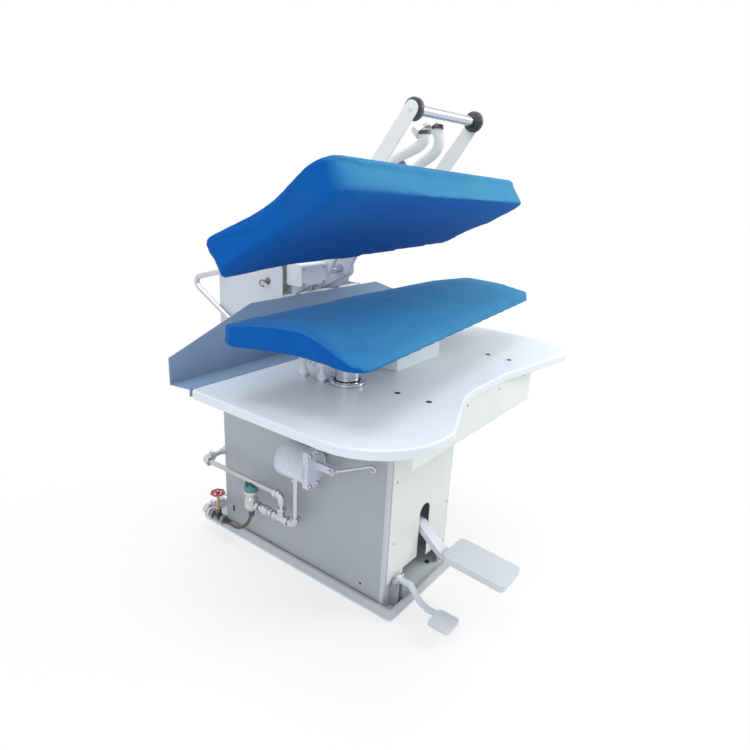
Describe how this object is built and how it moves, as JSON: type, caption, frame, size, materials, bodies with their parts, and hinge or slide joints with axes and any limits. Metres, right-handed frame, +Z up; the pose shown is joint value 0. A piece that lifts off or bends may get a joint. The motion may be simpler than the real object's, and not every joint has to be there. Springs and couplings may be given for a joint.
{
  "type": "utility laundry press",
  "caption": "Foot-operated utility laundry press with a padded fixed buck, a padded swinging head, a curved work table and side steam plumbing.",
  "frame": {"origin": "centre of the underside of the base tray, which stands on the floor", "axes": "+Z up, -Y towards the operator, who stands in front of the pedals, and +X to the machine's right as the operator faces away from it; stored with the head open"},
  "size_m": [1.2371, 1.2244, 1.5434],
  "materials": {
    "cabinet_grey": "semi-gloss enamel",
    "cream_white": "semi-gloss enamel",
    "table_white": "laminate",
    "trough_blue": "enamel",
    "pedal_grey": "enamel",
    "cover_blue": "woven press cover",
    "cast_aluminium": "sand cast",
    "bright_steel": "zinc plated",
    "chrome": "polished",
    "black_rubber": "moulded",
    "white_hose": "silicone hose",
    "brass": "turned",
    "red_paint": "gloss",
    "teal_paint": "gloss",
    "dark_iron": "black oxide",
    "brown_hose": "reinforced hose"
  },
  "bodies": {
    "frame": {"base_tray": "pedal_grey", "side_panel_left": "cabinet_grey", "side_panel_right": "cabinet_grey", "corner_post_left": "cabinet_grey", "corner_post_right": "cabinet_grey", "front_panel": "cream_white", "rear_panel": "cream_white", "column_top_cover": "cream_white", "table_frame": "dark_iron", "work_table": "table_white", "front_apron": "cream_white", "laundry_trough": "trough_blue", "pedestal_box": "cream_white", "vacuum_duct": "chrome", "vacuum_elbow": "bright_steel", "buck_union_front": "white_hose", "buck_union_rear": "white_hose", "buck_pad": "cover_blue", "buck_chest": "cast_aluminium", "hinge_beam": "cabinet_grey", "hinge_bearing_left": "cream_white", "hinge_bearing_right": "cream_white", "counter_spring_left": "bright_steel", "counter_spring_right": "bright_steel", "spring_anchor_bar": "cabinet_grey", "pedal_bearing_left": "cabinet_grey", "pedal_bearing_right": "cabinet_grey", "small_pedal_bracket": "cast_aluminium", "steam_valve": "cabinet_grey", "steam_riser_pipe": "bright_steel", "pipe_tee": "bright_steel", "steam_supply_pipe": "bright_steel", "steam_trap": "cast_aluminium", "steam_trap_cap": "teal_paint", "stop_valve": "dark_iron", "outlet_pipe": "bright_steel", "drain_hose": "brown_hose", "guard_tube_left": "bright_steel", "guard_tube_right": "bright_steel"},
    "head": {"head_pad": "cover_blue", "head_chest": "cast_aluminium", "head_yoke": "cream_white", "hinge_shaft": "bright_steel", "handle_arm_left": "pedal_grey", "handle_arm_right": "pedal_grey", "handle_bar": "chrome", "handle_collar_left": "black_rubber", "handle_collar_right": "black_rubber", "jumper_hose_left": "white_hose", "jumper_hose_right": "white_hose", "jumper_connector": "bright_steel"},
    "main_pedal": {"main_pedal_lever": "pedal_grey", "main_pedal_pad": "pedal_grey", "pedal_shaft": "bright_steel"},
    "link": {"link_rod": "bright_steel"},
    "small_pedal": {"small_pedal": "pedal_grey", "small_pedal_pin": "bright_steel"},
    "valve_lever": {"steam_valve_lever": "bright_steel"},
    "handwheel": {"stop_valve_handwheel": "red_paint", "stop_valve_stem": "brass"}
  },
  "joints": [
    {"name": "head_hinge", "type": "hinge", "parent": "frame", "child": "head", "pos_m": [0, 0.005, 1.047], "axis": [1, 0, 0], "range_deg": [0, 34.5], "stiffness_Nm_per_rad": 140, "springref_deg": -103.13, "deforming": ["counter_spring_left", "counter_spring_right"]},
    {"name": "main_pedal_hinge", "type": "hinge", "parent": "frame", "child": "main_pedal", "pos_m": [0, -0.166, 0.14], "axis": [1, 0, 0], "range_deg": [0, 11.3]},
    {"name": "link_rod_pivot", "type": "hinge", "parent": "main_pedal", "child": "link", "pos_m": [0, 0.09, 0.14], "axis": [1, 0, 0], "range_deg": [-12.9, 0]},
    {"name": "small_pedal_hinge", "type": "hinge", "parent": "frame", "child": "small_pedal", "pos_m": [-0.136, -0.436, 0.108], "axis": [1, 0, 0], "range_deg": [0, 9], "stiffness_Nm_per_rad": 12, "springref_deg": -20.05},
    {"name": "valve_lever_hinge", "type": "hinge", "parent": "frame", "child": "valve_lever", "pos_m": [-0.266, -0.25, 0.487], "axis": [1, 0, 0], "range_deg": [0, 10], "stiffness_Nm_per_rad": 4, "springref_deg": -20.05},
    {"name": "handwheel_turn", "type": "hinge", "parent": "frame", "child": "handwheel", "pos_m": [-0.258, 0.318, 0.19], "axis": [0, 0, 1], "range_deg": [-360, 360]}
  ],
  "couplings": [
    {"joint": "main_pedal_hinge", "follows": "head_hinge", "ratio": 0.326},
    {"joint": "link_rod_pivot", "follows": "head_hinge", "ratio": -0.371}
  ]
}
